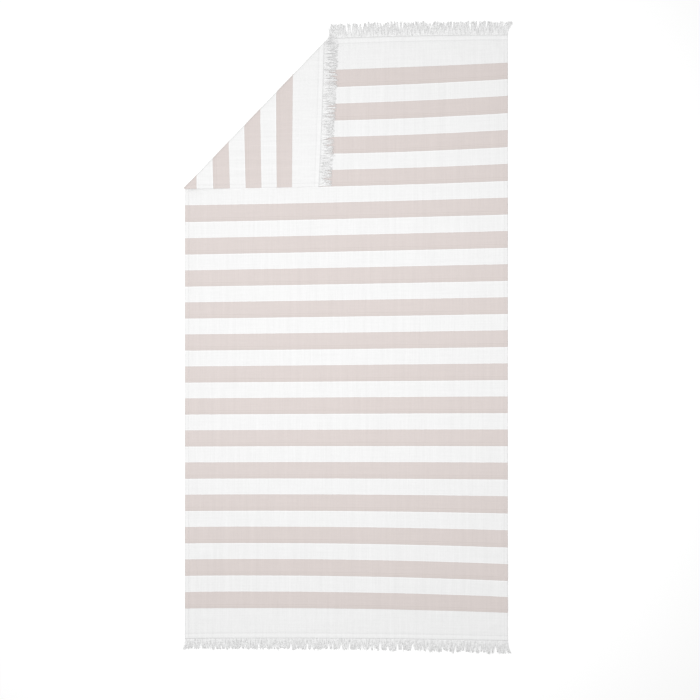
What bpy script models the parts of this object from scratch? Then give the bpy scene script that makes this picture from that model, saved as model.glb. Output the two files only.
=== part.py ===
# Woven beach towel with hemmed sides and a fringe of its own warp at both ends. It lies flat, face up, with
# its top left corner folded over to show the reverse. X runs across the towel, Y along it, Z up off the
# surface. The towel is worked out flat, as (across, along) places on the cloth laid by a short table, and is
# then turned over the crease.
import bmesh
import bpy
import numpy as np

# The cloth, in metres
WIDTH = 0.900              # from hem to hem
WOVEN_LENGTH = 1.668       # between the two fringes
CLOTH_THICK = 0.0018
HEM_THICK = 0.0030         # the side is turned in twice and stitched down
HEM_WIDTH = 0.0115
HEM_STEP = 0.0025          # how far the turned-in edge slopes down to the field

# The folded corner
CREASE_ON_HEM = 0.4187     # where the crease meets the left hem, along Y
CREASE_ANGLE = 46.1        # degrees from X
ROLL_RADIUS = 0.0045       # of the middle of the cloth, round the crease
LAYER_GAP = 0.0006         # between the flap's hem and the cloth under it
ROLL_SETTLE = 0.060        # length over which the flap comes down from the roll
FLAP_SLIDE = 0.012         # how far the roll shifts the flap back along the crease
FLAP_SKEW = 0.041          # further shift, for each metre in from the crease

# The fringe
FRINGE_THICK = 0.0012
FRINGE_GAP = 0.0004        # between the woven end and the fringe's own solid
HEADING = 0.0040           # the strip that all the tassels of an end hang from
TASSEL_PITCH = 0.0150
TASSEL_ROOT = 0.0092
TASSEL_TIP = 0.0056
SPLAY_REACH = 0.050        # how far in from a hem the tassels lean outwards

# Where the weft lies: a place along the cloth, then how far up Y from it the left hem, the middle
# and the right hem of that row lie
LAY_ROWS = (
    # along    left     middle   right
    (-0.834, -0.0050, -0.0045, -0.0110),
    (-0.751, -0.0040, -0.0045, -0.0160),
    (-0.341, -0.0065, -0.0055, -0.0070),
    (0.023, -0.0135, -0.0085, -0.0020),
    (0.387, -0.0175, -0.0090, 0.0040),
    (0.569, -0.0100, -0.0080, 0.0105),
    (0.751, -0.0155, -0.0025, 0.0160),
    (0.834, -0.0220, 0.0025, 0.0105),
)

# Fringe length at the left hem, the middle and the right hem, and the lean of the outermost tassels
FRINGES = {
    # end       left    middle  right   lean at left and right
    "top": (0.033, 0.038, 0.037, 0.004, 0.017),
    "bottom": (0.029, 0.031, 0.036, 0.011, 0.012),
}

# How finely the cloth is faceted
FIELD_COLUMNS = 9
ROLL_FACETS = 9
ROWS_BELOW_CREASE = 18
ROWS_BESIDE_CREASE = 10
CORNER_ROWS = (0.012, 0.030)   # extra rows just above the crease's start, where the hem turns over
WELD = 6                       # decimals of a metre at which corners of cells are the same

HALF_WIDTH = WIDTH / 2
HALF_LENGTH = WOVEN_LENGTH / 2
LAY = np.array(LAY_ROWS)
TURN = np.pi * ROLL_RADIUS     # length of cloth in the roll
ALONG_CREASE = np.array([np.cos(np.radians(CREASE_ANGLE)), np.sin(np.radians(CREASE_ANGLE))])
OUT_OF_CREASE = np.array([-ALONG_CREASE[1], ALONG_CREASE[0]])
CREASE_FOOT = np.array([-HALF_WIDTH, CREASE_ON_HEM])


def clear_scene():
    for item in list(bpy.data.objects):
        bpy.data.objects.remove(item)


def cloth_material(name, colour, roughness):
    material = bpy.data.materials.new(name)
    material.use_nodes = True
    surface = material.node_tree.nodes["Principled BSDF"]
    surface.inputs["Base Color"].default_value = (*colour, 1.0)
    surface.inputs["Roughness"].default_value = roughness
    surface.inputs["Metallic"].default_value = 0.0
    return material


def fall(share):
    """Smooth way down from 1 to 0 as share goes from 0 to 1."""
    share = np.clip(share, 0.0, 1.0)
    return (1.0 - share) ** 2 * (1.0 + 2.0 * share)


def curve_through(place, stations, values):
    """Smooth cubic through the values at the stations, read at each place."""
    slopes = np.gradient(values, stations)
    step = np.clip(np.searchsorted(stations, place) - 1, 0, len(stations) - 2)
    span = stations[step + 1] - stations[step]
    share = (place - stations[step]) / span
    rest = 1.0 - share
    start = values[step] * (1.0 + 2.0 * share) * rest**2 + span * slopes[step] * share * rest**2
    finish = values[step + 1] * (3.0 - 2.0 * share) * share**2 - span * slopes[step + 1] * rest * share**2
    return start + finish


def laid_flat(across, along):
    """Plan position of a place on the cloth before its corner is folded: each weft row is a shallow bow
    through its three heights in the lay table."""
    left, middle, right = (curve_through(along, LAY[:, 0], LAY[:, column]) for column in (1, 2, 3))
    side = across / HALF_WIDTH
    rise = middle + (right - left) / 2 * side + ((right + left) / 2 - middle) * side**2
    return np.stack([across, along + rise], axis=-1)


def past_crease(across, along):
    """Distance of a place on the flat cloth beyond the crease line; negative on the side that stays down."""
    return (laid_flat(across, along) - CREASE_FOOT) @ OUT_OF_CREASE


def across_at(along, distance):
    """Place across the weft row where it is that distance past the crease."""
    samples = np.linspace(-2 * WIDTH, WIDTH, 1201)
    return np.interp(-distance, -past_crease(samples, np.full_like(samples, along)), samples)


def along_at_hem(distance):
    """Place along the left hem where it is that distance past the crease."""
    samples = np.linspace(0, HALF_LENGTH, 1201)
    return np.interp(distance, past_crease(np.full_like(samples, -HALF_WIDTH), samples), samples)


def cloth_thickness(across):
    """Thickness across the towel: the hems at the sides, then a short slope to the field."""
    from_hem = HALF_WIDTH - np.abs(across)
    return CLOTH_THICK + (HEM_THICK - CLOTH_THICK) * fall((from_hem - HEM_WIDTH) / HEM_STEP)


def folded(across, along, side, thickness):
    """Points of the towel as it lies. side is -1 for the reverse and +1 for the face. In a section across
    the crease the cloth is flat, then half a circle, then comes down onto the layer below."""
    offset = laid_flat(across, along) - CREASE_FOOT
    along_crease = offset @ ALONG_CREASE
    length = offset @ OUT_OF_CREASE + ROLL_RADIUS
    angle = np.clip(length, 0.0, TURN) / ROLL_RADIUS
    flap = np.maximum(length - TURN, 0.0)
    face = side * thickness / 2
    out = np.minimum(length, 0.0) + (ROLL_RADIUS - face) * np.sin(angle) - ROLL_RADIUS - flap
    roll_top = thickness / 2 + 2 * ROLL_RADIUS
    rest = CLOTH_THICK + LAYER_GAP + HEM_THICK / 2
    height = thickness / 2 + ROLL_RADIUS - (ROLL_RADIUS - face) * np.cos(angle)
    height = height - (roll_top - rest) * (1.0 - fall(flap / ROLL_SETTLE))
    slid = along_crease - FLAP_SLIDE * (1.0 - fall(angle / np.pi)) - FLAP_SKEW * flap
    plan = CREASE_FOOT + slid[:, None] * ALONG_CREASE + out[:, None] * OUT_OF_CREASE
    return np.column_stack([plan, height])


def row_stations(along, columns):
    """Places across one weft row, from the left hem to the right: the columns of the flap, the turns of
    the roll and the columns of the part that stays down. A column on the wrong side of the roll stops at
    the roll's edge, and nothing passes the left hem."""
    turns = across_at(along, np.linspace(TURN, 0.0, ROLL_FACETS + 1) - ROLL_RADIUS)
    stations = np.concatenate([np.minimum(columns, turns[0]), turns, np.maximum(columns, turns[-1])])
    return np.maximum(stations, -HALF_WIDTH)


def cells_between(rows):
    """Four-cornered cells between neighbouring rows of (across, along) places."""
    first, second = rows[:-1], rows[1:]
    corners = [first[:, :-1], first[:, 1:], second[:, 1:], second[:, :-1]]
    return np.stack(corners, axis=2).reshape(-1, 4, 2)


def sheet_solid(name, cells, skin, material):
    """One closed body: a face skin, a reverse skin and a rim along every open edge. skin(places, side)
    gives the points of a skin. Corners of cells that fall together are one, and a cell that has shrunk
    to a line is left out."""
    places, index = np.unique(np.round(cells.reshape(-1, 2), WELD), axis=0, return_inverse=True)
    work = bmesh.new()
    face = [work.verts.new(point) for point in skin(places, 1)]
    reverse = [work.verts.new(point) for point in skin(places, -1)]
    rim = {}
    for cell in index.reshape(-1, 4):
        ring = [corner for turn, corner in enumerate(cell) if corner != cell[turn - 1]]
        if len(ring) < 3:
            continue
        work.faces.new([face[corner] for corner in ring])
        work.faces.new([reverse[corner] for corner in reversed(ring)])
        for turn, corner in enumerate(ring):
            rim[ring[turn - 1], corner] = (corner, ring[turn - 1]) not in rim
            if not rim[ring[turn - 1], corner]:
                del rim[ring[turn - 1], corner], rim[corner, ring[turn - 1]]
    for start, end in rim:
        work.faces.new([face[end], face[start], reverse[start], reverse[end]])
    mesh = bpy.data.meshes.new(name)
    work.to_mesh(mesh)
    work.free()
    mesh.materials.append(material)
    solid = bpy.data.objects.new(name, mesh)
    bpy.context.scene.collection.objects.link(solid)
    return solid


def make_cloth(material):
    """The woven towel with its two side hems, in one piece with the folded corner."""
    hem_edges = HALF_WIDTH - np.array([0.0, HEM_WIDTH, HEM_WIDTH + HEM_STEP])
    field = np.linspace(-hem_edges[2], hem_edges[2], FIELD_COLUMNS + 1)[1:-1]
    columns = np.concatenate([-hem_edges, field, hem_edges[::-1]])
    turn_rows = along_at_hem(np.linspace(0.0, TURN, ROLL_FACETS + 1) - ROLL_RADIUS)
    corner_rows = turn_rows[-1] + np.array(CORNER_ROWS)
    rows_along = np.concatenate([
        np.linspace(-HALF_LENGTH, turn_rows[0], ROWS_BELOW_CREASE, endpoint=False),
        turn_rows,
        corner_rows[:-1],
        np.linspace(corner_rows[-1], HALF_LENGTH, ROWS_BESIDE_CREASE),
    ])
    rows = np.array([
        [(across, along) for across in row_stations(along, columns)] for along in rows_along
    ])

    def skin(places, side):
        return folded(places[:, 0], places[:, 1], side, cloth_thickness(places[:, 0]))

    return sheet_solid("cloth", cells_between(rows), skin, material)


def fringe_cells(end, roll):
    """Comb of one end in (across, beyond the woven end) places: a strip, and a tapered tassel in two
    lengths at each pitch. roll holds the places across the end where it turns over the crease, and no
    tassel starts there."""
    left, middle, right, lean_left, lean_right = FRINGES[end]
    count = int(WIDTH / TASSEL_PITCH)
    centres = (np.arange(count) - (count - 1) / 2) * TASSEL_PITCH
    if len(roll):
        centres = centres[(centres < roll[0] - TASSEL_ROOT) | (centres > roll[-1] + TASSEL_ROOT)]
    roots = np.concatenate([centres - TASSEL_ROOT / 2, centres + TASSEL_ROOT / 2])
    strip = np.unique(np.round(np.concatenate([[-HALF_WIDTH, HALF_WIDTH], roots, roll]), WELD))
    beyond = np.full_like(strip, FRINGE_GAP)
    rows = np.stack([
        np.column_stack([strip, beyond]),
        np.column_stack([strip, beyond + HEADING]),
    ])
    cells = [cells_between(rows)]
    for centre in centres:
        side = centre / HALF_WIDTH
        length = middle + (right - left) / 2 * side + ((right + left) / 2 - middle) * side**2
        splay = fall((HALF_WIDTH - abs(centre)) / SPLAY_REACH) * (lean_right if centre > 0 else -lean_left)
        tassel = []
        for share in (0.0, 0.5, 1.0):
            half = (TASSEL_ROOT + (TASSEL_TIP - TASSEL_ROOT) * share) / 2
            shifted = centre + splay * share**2
            reach = FRINGE_GAP + HEADING + (length - FRINGE_GAP - HEADING) * share
            tassel.append([(shifted - half, reach), (shifted + half, reach)])
        cells.append(cells_between(np.array(tassel)))
    return np.concatenate(cells)


def make_fringe(name, end, material):
    """Comb of one end's tassels, which leave the woven end straight on, whichever way it faces. On the
    flap they rest on the layer below."""
    if end == "top":
        up = 1.0
        roll = across_at(HALF_LENGTH, np.linspace(TURN, 0.0, ROLL_FACETS + 1) - ROLL_RADIUS)
        cells = fringe_cells(end, roll)
    else:
        up = -1.0
        cells = fringe_cells(end, np.array([]))[:, ::-1]
    woven_end = up * HALF_LENGTH

    def skin(places, side):
        thickness = np.full(len(places), FRINGE_THICK)
        ends = np.full(len(places), woven_end)
        root = folded(places[:, 0], ends, side, thickness)
        before = folded(places[:, 0], ends - up * FRINGE_GAP, side, thickness)
        leaving = (root - before) / np.linalg.norm(root - before, axis=1)[:, None]
        points = root + places[:, 1:] * leaving
        on_flap = past_crease(places[:, 0], ends) > TURN - ROLL_RADIUS
        resting = CLOTH_THICK + LAYER_GAP + FRINGE_THICK * (1 - side) / 2
        points[:, 2] = np.where(on_flap, np.maximum(points[:, 2], resting), points[:, 2])
        return points

    return sheet_solid(name, cells, skin, material)


def main():
    clear_scene()
    woven_cotton = cloth_material("woven_cotton", (0.80, 0.77, 0.75), 0.9)
    cotton_yarn = cloth_material("cotton_yarn", (0.84, 0.83, 0.82), 0.95)
    make_cloth(woven_cotton)
    make_fringe("fringe_top", "top", cotton_yarn)
    make_fringe("fringe_bottom", "bottom", cotton_yarn)


main()
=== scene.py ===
import bpy
import numpy as np
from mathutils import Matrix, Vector


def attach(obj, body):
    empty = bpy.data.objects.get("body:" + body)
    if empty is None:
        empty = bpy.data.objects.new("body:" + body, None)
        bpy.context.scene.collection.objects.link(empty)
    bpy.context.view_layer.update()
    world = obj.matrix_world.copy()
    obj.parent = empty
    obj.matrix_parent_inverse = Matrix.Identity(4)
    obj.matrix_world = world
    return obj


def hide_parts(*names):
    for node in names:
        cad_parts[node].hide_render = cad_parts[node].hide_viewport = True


# A fringed cotton beach towel lying face up, with its top left corner turned over.
# X runs across it, Y along it, Z up. Everything is worked out on the flat cloth, as
# (across, along) places, and then carried over the crease. Metres throughout.

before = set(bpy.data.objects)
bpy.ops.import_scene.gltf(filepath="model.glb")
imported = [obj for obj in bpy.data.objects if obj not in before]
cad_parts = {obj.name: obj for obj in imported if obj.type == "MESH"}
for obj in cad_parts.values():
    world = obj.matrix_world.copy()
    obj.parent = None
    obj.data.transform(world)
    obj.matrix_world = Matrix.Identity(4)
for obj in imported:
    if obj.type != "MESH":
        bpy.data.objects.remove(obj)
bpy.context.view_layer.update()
print("frame loaded:", sorted(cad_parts))

towel = {
    "halfWidth": 0.450,
    "halfLength": 0.834,      # woven part only
    "thick": 0.0018,
    "hemThick": 0.0030,
    "hemWidth": 0.0115,
    "hemStep": 0.0025,
    "hemRound": 0.0014,       # radius of the hem's folded edge
    "edgeThin": 0.12,         # share of the thickness left at the hem's very edge
    "seamIn": 0.0100,         # stitch line, in from the hem's edge
    "seamWide": 0.0009,
    "seamDip": 0.0007,
    "ribIn": 0.0078,          # middle of the woven rib, in from each end
    "ribHalf": 0.0032,
    "ribSlope": 0.0015,
    "ribRise": 0.0004,
    "grooveIn": 0.0142,
    "grooveWide": 0.0010,
    "grooveDip": 0.0005,
    "columns": 118,
    "rows": 246,
    # finer columns in from each hem, and finer rows in from each end, in millimetres
    "hemColumns": (0, 0.3, 0.8, 1.6, 3.5, 6.0, 8.2, 9.2, 10.0, 10.8, 11.8, 13.0, 14.4),
    "endRows": (0, 1.5, 3.0, 4.2, 5.5, 7.8, 10.0, 11.4, 12.6, 13.5, 14.2, 15.0, 16.5),
}
corner = {
    "onHem": 0.4187,          # where the crease meets the left hem
    "angle": np.radians(46.1),
    "radius": 0.0045,
    "gap": 0.0006,
    "settle": 0.060,
    "slide": 0.012,
    "skew": 0.041,
    "turns": 12,
}
# along, then how far up Y the left hem, the middle and the right hem of that weft row lie
lay = np.array([
    (-0.834, -0.0050, -0.0045, -0.0110),
    (-0.751, -0.0040, -0.0045, -0.0160),
    (-0.341, -0.0065, -0.0055, -0.0070),
    (0.023, -0.0135, -0.0085, -0.0020),
    (0.387, -0.0175, -0.0090, 0.0040),
    (0.569, -0.0100, -0.0080, 0.0105),
    (0.751, -0.0155, -0.0025, 0.0160),
    (0.834, -0.0220, 0.0025, 0.0105),
])
# soft ridges in the cloth: from and to in (across, along), bow sideways, half width, height
ridges = [
    (-0.430, -0.330, -0.385, -0.350, 0.004, 0.0060, 0.0010),
    (-0.432, -0.405, -0.370, -0.440, 0.006, 0.0070, 0.0012),
    (-0.436, -0.520, -0.392, -0.545, 0.004, 0.0055, 0.0010),
    (-0.432, -0.610, -0.365, -0.600, 0.007, 0.0070, 0.0011),
    (-0.434, -0.700, -0.395, -0.735, 0.005, 0.0060, 0.0012),
    (-0.430, -0.790, -0.350, -0.780, 0.006, 0.0080, 0.0013),
    (0.405, 0.818, 0.440, 0.750, 0.004, 0.0060, 0.0016),
    (0.300, 0.800, 0.345, 0.730, -0.006, 0.0100, 0.0010),
    (0.436, -0.560, 0.398, -0.600, 0.004, 0.0060, 0.0009),
    (0.434, -0.770, 0.380, -0.800, 0.006, 0.0070, 0.0011),
    (0.436, 0.180, 0.405, 0.150, 0.003, 0.0060, 0.0008),
    (-0.150, -0.805, 0.060, -0.790, 0.010, 0.0140, 0.0009),
    (0.120, -0.730, 0.330, -0.760, -0.010, 0.0160, 0.0010),
]
# long swells: height, rates along and across, bend and its own rates along and across, start
swells = [
    (0.0005, 19, 0, 1.3, 0, 5, 0.4),
    (0.0003, 0, 27, 2.1, 6, 0, 0.0),
    (0.0002, 71, 71, 3.0, 0, 11, 0.0),
]
# where the cloth under the flap lies flat, and how the swells come back on the flap
pressed = {
    "rightEdge": -0.030, "fadeRight": 0.06, "lowEdge": 0.418, "fadeLow": 0.05,
    "flapFade": 0.05, "flapShare": 0.8, "ridgeTip": 0.25,
}
alongCrease = np.array([np.cos(corner["angle"]), np.sin(corner["angle"])])
outOfCrease = np.array([-alongCrease[1], alongCrease[0]])
creaseFoot = np.array([-towel["halfWidth"], corner["onHem"]])
turnLength = np.pi * corner["radius"]


# 1 at 0, 0 at 1, level at both ends: (1 - s)^2 (1 + 2 s)
def fall(share):
    share = np.clip(share, 0.0, 1.0)
    return (1 - share) ** 2 * (1 + 2 * share)


# cubic through the values at the stations, its slopes taken from the neighbours
def curveThrough(place, stations, values):
    slopes = np.gradient(values, stations)
    step = np.clip(np.searchsorted(stations, place) - 1, 0, len(stations) - 2)
    span = stations[step + 1] - stations[step]
    share = (place - stations[step]) / span
    rest = 1 - share
    start = values[step] * (1 + 2 * share) * rest**2 + span * slopes[step] * share * rest**2
    end = values[step + 1] * (3 - 2 * share) * share**2
    return start + end - span * slopes[step + 1] * rest * share**2


# plan place before the corner is turned: each weft row is a parabola through its three heights
def laidFlat(across, along):
    left, middle, right = (curveThrough(along, lay[:, 0], lay[:, k]) for k in (1, 2, 3))
    side = across / towel["halfWidth"]
    rise = middle + (right - left) / 2 * side + ((right + left) / 2 - middle) * side**2
    return np.stack([across, along + rise], axis=-1)


def pastCrease(across, along):
    return (laidFlat(across, along) - creaseFoot) @ outOfCrease


# where a weft row is that far past the crease
def acrossAt(along, distance):
    samples = np.linspace(-4 * towel["halfWidth"], 2 * towel["halfWidth"], 1201)
    return np.interp(-distance, -pastCrease(samples, np.full_like(samples, along)), samples)


# thickness: a plain field, thicker turned-in hems with a rounded edge and a pulled-down
# stitch line, and at each woven end a raised rib with a fine groove inside it
def clothThickness(across, along):
    fromHem = towel["halfWidth"] - np.abs(across)
    fromEnd = towel["halfLength"] - np.abs(along)
    hem = fall((fromHem - towel["hemWidth"]) / towel["hemStep"])
    thick = towel["thick"] + (towel["hemThick"] - towel["thick"]) * hem
    thick = thick - towel["seamDip"] * np.exp(-(((fromHem - towel["seamIn"]) / towel["seamWide"]) ** 2))
    rib = fall((np.abs(fromEnd - towel["ribIn"]) - towel["ribHalf"]) / towel["ribSlope"])
    groove = np.exp(-(((fromEnd - towel["grooveIn"]) / towel["grooveWide"]) ** 2))
    thick = thick + towel["ribRise"] * rib - towel["grooveDip"] * groove
    edge = 1 - np.clip(fromHem / towel["hemRound"], 0, 1)
    return thick * np.maximum(np.sqrt(1 - edge**2), towel["edgeThin"])


# how far the cloth stands off what it lies on: a few long swells that never go below 0, plus
# the ridges, each a bell across a slightly bowed line; none where another layer lies on it
def lift(across, along):
    swell = np.zeros_like(across)
    for high, goAlong, goAcross, bend, bendAlong, bendAcross, start in swells:
        sway = bend * np.sin(bendAlong * along + bendAcross * across)
        swell = swell + high * (1 + np.sin(goAlong * along + goAcross * across + sway + start))
    for x0, y0, x1, y1, bow, wide, high in ridges:
        run = np.array([x1 - x0, y1 - y0])
        size = np.hypot(*run)
        share = ((across - x0) * run[0] + (along - y0) * run[1]) / size**2
        off = ((along - y0) * run[0] - (across - x0) * run[1]) / size
        off = off - bow * 4 * share * (1 - share)
        tip = fall(np.abs(share - 0.5) * 2 - pressed["ridgeTip"])
        swell = swell + high * np.exp(-((off / wide) ** 2)) * tip
    plan = laidFlat(across, along)
    past = (plan - creaseFoot) @ outOfCrease
    under = fall((plan[..., 0] - pressed["rightEdge"]) / pressed["fadeRight"])
    under = under * fall((pressed["lowEdge"] - plan[..., 1]) / pressed["fadeLow"])
    under = under * (past < turnLength)
    flap = np.clip((past - turnLength) / pressed["flapFade"], 0, 1)
    return swell * np.where(past > 0, flap * pressed["flapShare"], 1 - under)


# points of the towel as it lies; side is -1 on the reverse, 1 on the face, 0 in between.
# Across the crease it is flat, then half a circle, then settles onto the layer below
def folded(across, along, side, thick):
    offset = laidFlat(across, along) - creaseFoot
    length = offset @ outOfCrease + corner["radius"]
    angle = np.clip(length, 0, turnLength) / corner["radius"]
    flap = np.maximum(length - turnLength, 0)
    face = side * thick / 2
    reach = corner["radius"] - face
    out = np.minimum(length, 0) + reach * np.sin(angle) - corner["radius"] - flap
    rollTop = thick / 2 + 2 * corner["radius"]
    rest = towel["thick"] + corner["gap"] + towel["hemThick"] / 2
    height = thick / 2 + corner["radius"] - reach * np.cos(angle)
    height = height - (rollTop - rest) * (1 - fall(flap / corner["settle"]))
    slid = offset @ alongCrease - corner["slide"] * (1 - fall(angle / np.pi))
    slid = slid - corner["skew"] * flap
    plan = creaseFoot + slid[:, None] * alongCrease + out[:, None] * outOfCrease
    return np.column_stack([plan, height + lift(across, along)])


# sRGB hex to linear
def hexLinear(text):
    part = np.array([int(text[k:k + 2], 16) for k in (1, 3, 5)]) / 255
    return (*np.where(part <= 0.04045, part / 12.92, ((part + 0.055) / 1.055) ** 2.4), 1.0)


# adds a node and sets its fields; an input is given a value, or a socket to link from
def addNode(tree, kind, fields=None, inputs=None):
    node = tree.nodes.new(kind)
    for name, value in (fields or {}).items():
        setattr(node, name, value)
    for name, value in (inputs or {}).items():
        if isinstance(value, bpy.types.NodeSocket):
            tree.links.new(value, node.inputs[name])
        else:
            node.inputs[name].default_value = value
    return node


# puts colour stops on a ramp node, in order
def setStops(ramp, stops):
    elements = ramp.color_ramp.elements
    elements.remove(elements[1])
    elements[0].position = stops[0][0]
    elements[0].color = stops[0][1]
    for position, colour in stops[1:]:
        elements.new(position).color = colour


# a mesh from points and faces, with a UV map in metres on the cloth, smooth, on the root body
def makePiece(name, points, faces, uv, material):
    mesh = bpy.data.meshes.new(name)
    mesh.from_pydata(points.tolist(), [], [face for block in faces for face in block.tolist()])
    corners = np.empty(len(mesh.loops), dtype=np.int32)
    mesh.loops.foreach_get("vertex_index", corners)
    layer = mesh.uv_layers.new(name="clothPlace")
    layer.data.foreach_set("uv", uv[corners].astype(np.float32).ravel())
    mesh.polygons.foreach_set("use_smooth", np.ones(len(mesh.polygons), dtype=bool))
    mesh.materials.append(material)
    piece = bpy.data.objects.new(name, mesh)
    bpy.context.scene.collection.objects.link(piece)
    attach(piece, "root")
    print(name, len(points), "points")
    return piece


# tubes along many paths at once: a ring of sides at every path point, closed at both ends
def tubes(paths, radii, sides, flatness=1.0):
    count, steps = paths.shape[:2]
    run = np.gradient(paths, axis=1)
    run = run / np.linalg.norm(run, axis=2)[..., None]
    across = np.cross(run, [0.0, 0.0, 1.0])
    across = across / np.maximum(np.linalg.norm(across, axis=2)[..., None], 1e-9)
    above = np.cross(across, run)
    turn = np.arange(sides) * 2 * np.pi / sides
    ring = across[:, :, None] * np.cos(turn)[:, None] + above[:, :, None] * np.sin(turn)[:, None]
    points = paths[:, :, None] + radii[:, :, None, None] * ring * [1.0, 1.0, flatness]
    index = np.arange(count * steps * sides).reshape(count, steps, sides)
    here, there = index[:, :-1], index[:, 1:]
    skin = np.stack([here, there, np.roll(there, -1, 2), np.roll(here, -1, 2)], -1)
    return points.reshape(-1, 3), [skin.reshape(-1, 4), index[:, 0], index[:, -1, ::-1]]


# Woven cotton: a plain-woven flat face with a soft, dry look and no gloss. The eye gets warp
# ribs running along the towel, irregular from thread to thread, and wide woven-in stripes
dye = {
    "white": "#E7E7E7", "brightWhite": "#ECECEC", "taupe": "#D1C8C5", "darkTaupe": "#BFB5B1",
    "lineTaupe": "#C7BEBA", "firstStripe": 0.75075, "repeat": 0.091, "stripes": 17,
    "roughness": 0.92, "specular": 0.25, "sheen": 0.08, "sheenRoughness": 0.5,
}
# one repeat of the weft: taupe with a few darker picks near its lower edge, then white
weftRepeat = [
    (0.000, "darkTaupe"), (0.012, "taupe"), (0.385, "taupe"), (0.395, "lineTaupe"),
    (0.405, "taupe"), (0.440, "taupe"), (0.450, "lineTaupe"), (0.460, "taupe"),
    (0.486, "taupe"), (0.494, "darkTaupe"), (0.500, "darkTaupe"), (0.506, "brightWhite"),
    (0.530, "brightWhite"), (0.545, "white"), (0.965, "white"), (0.998, "brightWhite"),
]
# painted shade and highlight over the first 20 mm from each end: fringe line and groove darker as
# painted shade, rib lighter as painted highlight, then the field
paintedEndTones = [(0.0, 0.90), (0.06, 0.90), (0.14, 1.02), (0.58, 1.02), (0.66, 0.95), (0.74, 0.95),
            (0.82, 1.0), (1.0, 1.0)]
# uneven threads as noise: patches per metre across and along, detail, tone and height they give
threads = {
    "edgeWander": (60, 8, 3, 0.0, 0.0),
    "wideColumns": (85, 2.5, 2, 0.060, 0.0),
    "warp": (420, 14, 2, 0.075, 1.6),
    "weft": (9, 330, 2, 0.055, 0.9),
    "slubs": (160, 160, 4, 0.040, 0.0),
}
weave = {
    "every": 0.0012,          # real threads lie about 0.7 mm apart, drawn coarser to show
    "weftLooser": 1.1, "weftShare": 0.5, "strength": 0.35, "height": 0.00045,
    # the seam's darker tone is painted shade along the sunk stitch line
    "wander": 0.0012, "seamHalf": 0.0010, "seamShade": -0.045, "endTone": 0.020, "noise": 0.55,
}


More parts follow.
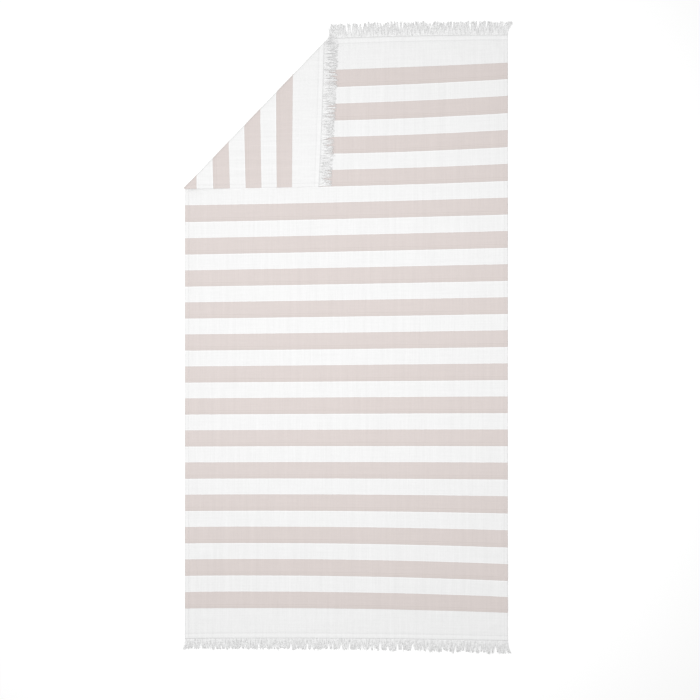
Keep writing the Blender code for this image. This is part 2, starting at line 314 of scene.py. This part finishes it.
def wovenCotton():
    material = bpy.data.materials.new("woven cotton")
    material.use_nodes = True
    tree = material.node_tree
    surface = tree.nodes["Principled BSDF"]
    surface.inputs["Roughness"].default_value = dye["roughness"]
    surface.inputs["Specular IOR Level"].default_value = dye["specular"]
    surface.inputs["Sheen Weight"].default_value = dye["sheen"]
    surface.inputs["Sheen Roughness"].default_value = dye["sheenRoughness"]
    place = addNode(tree, "ShaderNodeUVMap", {"uv_map": "clothPlace"}).outputs[0]
    parts = addNode(tree, "ShaderNodeSeparateXYZ", None, {0: place}).outputs

    sockets = {"placeAcross": parts[0], "placeAlong": parts[1]}
    for name, (densityAcross, densityAlong, detail, _, _) in threads.items():
        stretched = addNode(tree, "ShaderNodeVectorMath", {"operation": "MULTIPLY"},
                            {0: place, 1: (densityAcross, densityAlong, 1.0)})
        settings = {"Vector": stretched.outputs[0], "Scale": 1.0, "Detail": detail,
                    "Roughness": weave["noise"]}
        noise = addNode(tree, "ShaderNodeTexNoise", {"noise_dimensions": "2D"}, settings)
        sockets[name] = noise.outputs[0]

    warpRate = np.pi / weave["every"]
    sums = [    # what it gives, how, and from what
        # stripes by the place along the towel, whose edges wander by about half a thread
        ("wander", "SUBTRACT", "edgeWander", 0.5),
        ("along", "MULTIPLY_ADD", "wander", weave["wander"], "placeAlong"),
        ("fromFirst", "SUBTRACT", dye["firstStripe"], "along"),
        ("period", "DIVIDE", "fromFirst", dye["repeat"]),
        ("share", "FRACT", "period"),
        ("belowTop", "GREATER_THAN", "period", 0.0),
        ("aboveEnd", "LESS_THAN", "period", dye["stripes"] - 0.5),
        ("striped", "MULTIPLY", "belowTop", "aboveEnd"),
        # tone: painted shade darkens the sunk seam line in from each hem
        ("offMiddle", "ABSOLUTE", "placeAcross"),
        ("fromHem", "SUBTRACT", towel["halfWidth"], "offMiddle"),
        ("fromSeam", "SUBTRACT", "fromHem", towel["seamIn"]),
        ("offSeam", "ABSOLUTE", "fromSeam"),
        ("inSeam", "LESS_THAN", "offSeam", weave["seamHalf"]),
        ("tone", "MULTIPLY_ADD", "inSeam", weave["seamShade"], 1.0),
        # how far in from the nearer woven end
        ("offCentre", "ABSOLUTE", "placeAlong"),
        ("fromEnd", "SUBTRACT", towel["halfLength"], "offCentre"),
        ("endShare", "DIVIDE", "fromEnd", weave["endTone"]),
        # weave: the sizes of two crossed sines
        ("warpTurn", "MULTIPLY", "placeAcross", warpRate),
        ("warpSine", "SINE", "warpTurn"),
        ("warpWave", "ABSOLUTE", "warpSine"),
        ("weftTurn", "MULTIPLY", "placeAlong", warpRate / weave["weftLooser"]),
        ("weftSine", "SINE", "weftTurn"),
        ("weftWave", "ABSOLUTE", "weftSine"),
        ("height", "MULTIPLY_ADD", "weftWave", weave["weftShare"], "warpWave"),
    ]
    for name, (_, _, _, toneShare, heightShare) in threads.items():
        sums.append(("uneven", "SUBTRACT", name, 0.5))
        sums.append(("tone", "MULTIPLY_ADD", "uneven", toneShare, "tone"))
        sums.append(("height", "MULTIPLY_ADD", name, heightShare, "height"))
    for name, operation, *terms in sums:
        inputs = {k: sockets[term] if isinstance(term, str) else term for k, term in enumerate(terms)}
        sockets[name] = addNode(tree, "ShaderNodeMath", {"operation": operation}, inputs).outputs[0]

    ramp = addNode(tree, "ShaderNodeValToRGB", None, {0: sockets["share"]})
    setStops(ramp, [(position, hexLinear(dye[name])) for position, name in weftRepeat])
    pattern = addNode(tree, "ShaderNodeMix", {"data_type": "RGBA"},
                      {0: sockets["striped"], 6: hexLinear(dye["white"]), 7: ramp.outputs[0]})
    # painted shade darkens the fringe line and the groove, painted highlight lightens the raised rib
    paintedEndRamp = addNode(tree, "ShaderNodeValToRGB", None, {0: sockets["endShare"]})
    setStops(paintedEndRamp, [(position, (grey, grey, grey, 1)) for position, grey in paintedEndTones])
    toned = addNode(tree, "ShaderNodeVectorMath", {"operation": "SCALE"},
                    {0: pattern.outputs[2], "Scale": sockets["tone"]})
    ended = addNode(tree, "ShaderNodeVectorMath", {"operation": "MULTIPLY"},
                    {0: toned.outputs[0], 1: paintedEndRamp.outputs[0]})
    tree.links.new(ended.outputs[0], surface.inputs["Base Color"])
    bump = addNode(tree, "ShaderNodeBump", None,
                   {"Height": sockets["height"], "Strength": weave["strength"],
                    "Distance": weave["height"]})
    tree.links.new(bump.outputs[0], surface.inputs["Normal"])
    return material


# Cotton yarn: the loose warp ends and the sewing thread, twisted, dry and a little fuzzy. The
# twist shows as fine slanting bands, with lighter and darker ends side by side
spun = {
    "dull": "#DFDFDF", "bright": "#EDEDED", "dullTo": 0.30, "brightFrom": 0.62, "patches": 260.0,
    "detail": 2.0, "twists": 160.0, "wobble": 0.5, "strength": 0.5, "height": 0.0002,
    "roughness": 0.95, "specular": 0.2, "sheen": 0.1,
}


def cottonYarn():
    material = bpy.data.materials.new("undyed cotton yarn")
    material.use_nodes = True
    tree = material.node_tree
    surface = tree.nodes["Principled BSDF"]
    surface.inputs["Roughness"].default_value = spun["roughness"]
    surface.inputs["Specular IOR Level"].default_value = spun["specular"]
    surface.inputs["Sheen Weight"].default_value = spun["sheen"]
    place = addNode(tree, "ShaderNodeTexCoord").outputs["Object"]
    patches = addNode(tree, "ShaderNodeTexNoise", None,
                      {"Vector": place, "Scale": spun["patches"], "Detail": spun["detail"]})
    tint = addNode(tree, "ShaderNodeValToRGB", None, {0: patches.outputs[0]})
    setStops(tint, [(spun["dullTo"], hexLinear(spun["dull"])),
                    (spun["brightFrom"], hexLinear(spun["bright"]))])
    tree.links.new(tint.outputs[0], surface.inputs["Base Color"])
    twist = addNode(tree, "ShaderNodeUVMap", {"uv_map": "clothPlace"})
    ply = addNode(tree, "ShaderNodeTexWave", {"bands_direction": "DIAGONAL"},
                  {"Vector": twist.outputs[0], "Scale": spun["twists"], "Distortion": spun["wobble"]})
    bump = addNode(tree, "ShaderNodeBump", None,
                   {"Height": ply.outputs[0], "Strength": spun["strength"], "Distance": spun["height"]})
    tree.links.new(bump.outputs[0], surface.inputs["Normal"])
    return material


# the woven panel: a grid of weft rows, finer at the hems, the ribs and the turned corner.
# Columns on the wrong side of the roll stop at its edge, so its own columns follow the crease
def makeCloth(material):
    half, end = towel["halfWidth"], towel["halfLength"]
    hemSteps = np.array(towel["hemColumns"]) / 1000
    field = np.linspace(-half + hemSteps[-1], half - hemSteps[-1], towel["columns"])[1:-1]
    columns = np.concatenate([-half + hemSteps, field, (half - hemSteps)[::-1]])
    endSteps = np.array(towel["endRows"]) / 1000
    turns = np.linspace(turnLength, 0, corner["turns"] + 1) - corner["radius"]
    samples = np.linspace(0, end, 1201)
    hemRows = np.interp(turns[::-1], pastCrease(np.full_like(samples, -half), samples), samples)
    middle = np.linspace(-end + endSteps[-1], end - endSteps[-1], towel["rows"])[1:-1]
    rows = np.unique(np.concatenate([-end + endSteps, middle, hemRows, end - endSteps]))
    grid = []
    for along in rows:
        roll = acrossAt(along, turns)
        stations = [np.minimum(columns, roll[0]), roll, np.maximum(columns, roll[-1])]
        grid.append(np.maximum(np.concatenate(stations), -half))
    across = np.array(grid)
    places = np.stack([across, np.broadcast_to(rows[:, None], across.shape)], -1).reshape(-1, 2)
    places, index = np.unique(np.round(places, 6), axis=0, return_inverse=True)
    index = index.reshape(across.shape)
    cells = np.stack([index[:-1, :-1], index[:-1, 1:], index[1:, 1:], index[1:, :-1]], -1)
    cells = cells.reshape(-1, 4)
    fresh = cells != np.roll(cells, 1, axis=1)
    quads = cells[fresh.sum(1) == 4]
    triangles = cells[fresh.sum(1) == 3][fresh[fresh.sum(1) == 3]].reshape(-1, 3)
    ring = np.concatenate([index[0], index[1:, -1], index[-1, -2::-1], index[-2:0:-1, 0]])
    ring = ring[ring != np.roll(ring, 1)]
    after = np.roll(ring, -1)
    count = len(places)
    rim = np.stack([ring, ring + count, after + count, after], -1)
    thick = clothThickness(places[:, 0], places[:, 1])
    face, reverse = (folded(places[:, 0], places[:, 1], side, thick) for side in (1, -1))
    faces = [quads, quads[:, ::-1] + count, triangles, triangles[:, ::-1] + count, rim]
    points = np.concatenate([face, reverse])
    uv = np.tile(places, (2, 1))
    return makePiece("cloth_panel", points, faces, uv, material)


# Fringe: length at the left hem, middle and right hem, lean of the outer ends
fringes = {
    "top": {"lengths": (0.033, 0.038, 0.037), "lean": (0.004, 0.017), "up": 1.0, "seed": 5},
    "bottom": {"lengths": (0.029, 0.031, 0.036), "lean": (0.011, 0.012), "up": -1.0, "seed": 11},
}
yarn = {
    "count": 1150, "radius": 0.00070, "steps": 8, "sides": 5, "flatness": 0.6,
    "edgeIn": 0.0008, "unevenPlace": 0.0004, "clump": 9.0, "unevenClump": 0.3,
    "clumpLength": 0.045, "endLength": 0.050,      # spread of length, by clump and by end
    "gather": (0.2, 0.8), "clumpLean": 0.0022, "endLean": 0.0012,
    "looseShare": 0.05, "looseLean": 0.007, "splayReach": 0.050,
    "wave": 0.0009, "waveTurns": (4, 9), "bendPower": 1.7,
    "rooted": 0.0012,         # how far each end starts inside the weave
    "rise": 0.0004, "settled": 0.9, "stack": 0.0016, "flapGap": 0.0002,
    "taper": 0.35, "unevenRadius": (0.85, 1.15), "probe": 0.0005, "probeBack": 0.002,
}


# each warp end leaves the weave straight on, bends towards its clump and waves a little, and
# its height falls in a quarter bow to whatever it lies on
def makeFringe(name, end, node, material):
    facts = fringes[end]
    rng = np.random.default_rng(facts["seed"])
    count, half = yarn["count"], towel["halfWidth"]
    across = np.linspace(yarn["edgeIn"] - half, half - yarn["edgeIn"], count)
    across = across + rng.uniform(-yarn["unevenPlace"], yarn["unevenPlace"], count)
    uneven = rng.uniform(-yarn["unevenClump"], yarn["unevenClump"], count)
    clump = np.floor(np.arange(count) / yarn["clump"] + uneven).astype(int)
    clumps = clump.max() + 2
    members = [across[clump == k] for k in range(clumps)]
    centre = np.array([member.mean() if len(member) else 0 for member in members])
    left, middle, right = facts["lengths"]
    side = across / half
    length = middle + (right - left) / 2 * side + ((right + left) / 2 - middle) * side**2
    clumpLength = rng.normal(0, yarn["clumpLength"], clumps)[clump]
    length = length * (1 + clumpLength + rng.normal(0, yarn["endLength"], count))
    woven = np.full(count, facts["up"] * towel["halfLength"])
    thick = np.full(count, towel["thick"])
    root = folded(across, woven, 0, thick)
    before = folded(across, woven - facts["up"] * yarn["probeBack"], 0, thick)
    leaving = root - before
    leaving[:, 2] = 0
    # the few ends inside the roll leave it along the crease, not back across it
    past = pastCrease(across, woven)
    angle = np.clip(past + corner["radius"], 0, turnLength) / corner["radius"]
    outward = np.cos(corner["angle"]) * np.cos(angle)
    turned = np.sin(corner["angle"]) * alongCrease + outward[:, None] * outOfCrease
    inRoll = (angle > 0) & (angle < np.pi)
    leaving[inRoll, :2] = turned[inRoll]
    leaving = leaving / np.maximum(np.linalg.norm(leaving, axis=1)[:, None], 1e-9)
    rightward = folded(np.clip(across + yarn["probe"], -half, half), woven, 0, thick)
    leftward = folded(np.clip(across - yarn["probe"], -half, half), woven, 0, thick)
    sideways = rightward - leftward
    sideways[:, 2] = 0
    sideways = sideways / np.maximum(np.linalg.norm(sideways, axis=1)[:, None], 1e-9)
    share = np.linspace(0, 1, yarn["steps"])[None, :]
    flap = past > turnLength / 2
    gather = (centre[clump] - across) * rng.uniform(*yarn["gather"], count)
    lean = rng.normal(0, yarn["clumpLean"], clumps)[clump]
    lean = lean + rng.normal(0, yarn["endLean"], count)
    loose = rng.random(count) < yarn["looseShare"]
    lean = lean + loose * rng.normal(0, yarn["looseLean"], count)
    splay = fall((half - np.abs(across)) / yarn["splayReach"])
    lean = lean + splay * np.where(across > 0, facts["lean"][1], -facts["lean"][0])
    wave = rng.normal(0, yarn["wave"], count)[:, None]
    wave = wave * np.sin(share * rng.uniform(*yarn["waveTurns"], count)[:, None])
    shift = (gather + lean)[:, None] * share ** yarn["bendPower"] + wave * share
    reach = length[:, None] * share - yarn["rooted"]
    ground = np.where(flap, towel["thick"] + yarn["flapGap"], 0.0)[:, None] + yarn["radius"]
    ground = ground + rng.uniform(0, yarn["stack"], count)[:, None] * share
    height = ground + (root[:, 2:] + yarn["rise"] - ground) * fall(share * yarn["settled"])
    paths = root[:, None] + reach[..., None] * leaving[:, None]
    paths = paths + shift[..., None] * sideways[:, None]
    paths[..., 2] = np.maximum(height, ground)
    radii = yarn["radius"] * (1 - yarn["taper"] * share**2)
    radii = radii * rng.uniform(*yarn["unevenRadius"], count)[:, None]
    points, faces = tubes(paths, radii, yarn["sides"], yarn["flatness"])
    shape = (count, yarn["steps"], yarn["sides"])
    run = np.broadcast_to((length[:, None] * share)[..., None], shape)
    turn = np.broadcast_to(np.arange(yarn["sides"]) * yarn["radius"], shape)
    uv = np.stack([turn, run], -1).reshape(-1, 2)
    piece = makePiece(name, points, faces, uv, material)
    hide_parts(node)
    return piece


# Hem seam: short lock stitches on both sides of each hem, each a bead whose ends sink in
stitch = {
    "every": 0.0040, "long": 0.0031, "radius": 0.00030, "sides": 4,
    "bow": (-0.0004, 0.0001, 0.0002, -0.0004),     # height over the cloth at each path point
}


def makeStitches(material):
    count = int(2 * towel["halfLength"] / stitch["every"]) - 1
    middle = (np.arange(count) - (count - 1) / 2) * stitch["every"]
    steps = len(stitch["bow"])
    along = middle[:, None] + np.linspace(-0.5, 0.5, steps) * stitch["long"]
    along = np.tile(along.ravel(), 4)
    each = count * steps
    line = towel["halfWidth"] - towel["seamIn"]
    across = np.repeat([-line, line, -line, line], each)
    side = np.repeat([1.0, 1.0, -1.0, -1.0], each)
    thick = clothThickness(across, along)
    face, reverse = folded(across, along, 1, thick), folded(across, along, -1, thick)
    outward = face - reverse
    outward = outward / np.linalg.norm(outward, axis=1)[:, None] * side[:, None]
    bow = np.tile(stitch["bow"], count * 4)[:, None]
    paths = np.where(side[:, None] > 0, face, reverse) + outward * bow
    paths[:, 2] = np.maximum(paths[:, 2], stitch["radius"])
    radii = np.full((count * 4, steps), stitch["radius"])
    points, faces = tubes(paths.reshape(-1, steps, 3), radii, stitch["sides"])
    uv = np.column_stack([np.tile(np.arange(stitch["sides"]) * stitch["radius"], len(along)),
                          np.repeat(along, stitch["sides"])])
    return makePiece("hem_stitches", points, faces, uv, material)


cottonCloth = wovenCotton()
yarnFinish = cottonYarn()
cloth = makeCloth(cottonCloth)
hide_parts("cloth")
topFringe = makeFringe("top_fringe_yarns", "top", "fringe_top", yarnFinish)
bottomFringe = makeFringe("bottom_fringe_yarns", "bottom", "fringe_bottom", yarnFinish)
stitches = makeStitches(yarnFinish)

# Room: a matt white floor, an even white dome and one large soft panel high up, a little left
room = {
    "floor": "#FFFFFF", "floorHalf": 6.0, "floorAt": -0.0004, "dome": 0.600,
    "panelAt": (-0.20, 0.10, 2.45), "panelAim": (-0.10, 0.05, 0.0),
    "panelSize": 1.2, "panelPower": 40.0,
    "cameraAt": (0.0100, -0.0342, 4.611), "lens": 85.0, "sensor": 36.0,
}
floorMesh = bpy.data.meshes.new("floor")
wide, low = room["floorHalf"], room["floorAt"]
floorCorners = [(-wide, -wide, low), (wide, -wide, low), (wide, wide, low), (-wide, wide, low)]
floorMesh.from_pydata(floorCorners, [], [(0, 1, 2, 3)])
floor = bpy.data.objects.new("floor", floorMesh)
bpy.context.scene.collection.objects.link(floor)
paint = bpy.data.materials.new("matt white paint")  # a studio sweep, with no gloss at all
paint.use_nodes = True
coat = paint.node_tree.nodes["Principled BSDF"]
coat.inputs["Base Color"].default_value = hexLinear(room["floor"])
coat.inputs["Roughness"].default_value = 1.0
coat.inputs["Specular IOR Level"].default_value = 0.0
floorMesh.materials.append(paint)

dome = bpy.data.worlds.new("studio dome")
dome.use_nodes = True
dome.node_tree.nodes["Background"].inputs["Color"].default_value = (1, 1, 1, 1)
dome.node_tree.nodes["Background"].inputs["Strength"].default_value = room["dome"]
bpy.context.scene.world = dome
panelData = bpy.data.lights.new("soft panel", "AREA")
panelData.size = room["panelSize"]
panelData.energy = room["panelPower"]
panel = bpy.data.objects.new("soft panel", panelData)
panel.location = room["panelAt"]
aim = Vector(room["panelAim"]) - Vector(room["panelAt"])
panel.rotation_euler = aim.to_track_quat("-Z", "Y").to_euler()
bpy.context.scene.collection.objects.link(panel)

cameraData = bpy.data.cameras.new("camera")
cameraData.lens = room["lens"]
cameraData.sensor_width = room["sensor"]
camera = bpy.data.objects.new("camera", cameraData)
camera.location = room["cameraAt"]
bpy.context.scene.collection.objects.link(camera)
bpy.context.scene.camera = camera
bpy.context.scene.view_settings.view_transform = "Standard"
bpy.context.scene.view_settings.look = "None"
print("room lit")
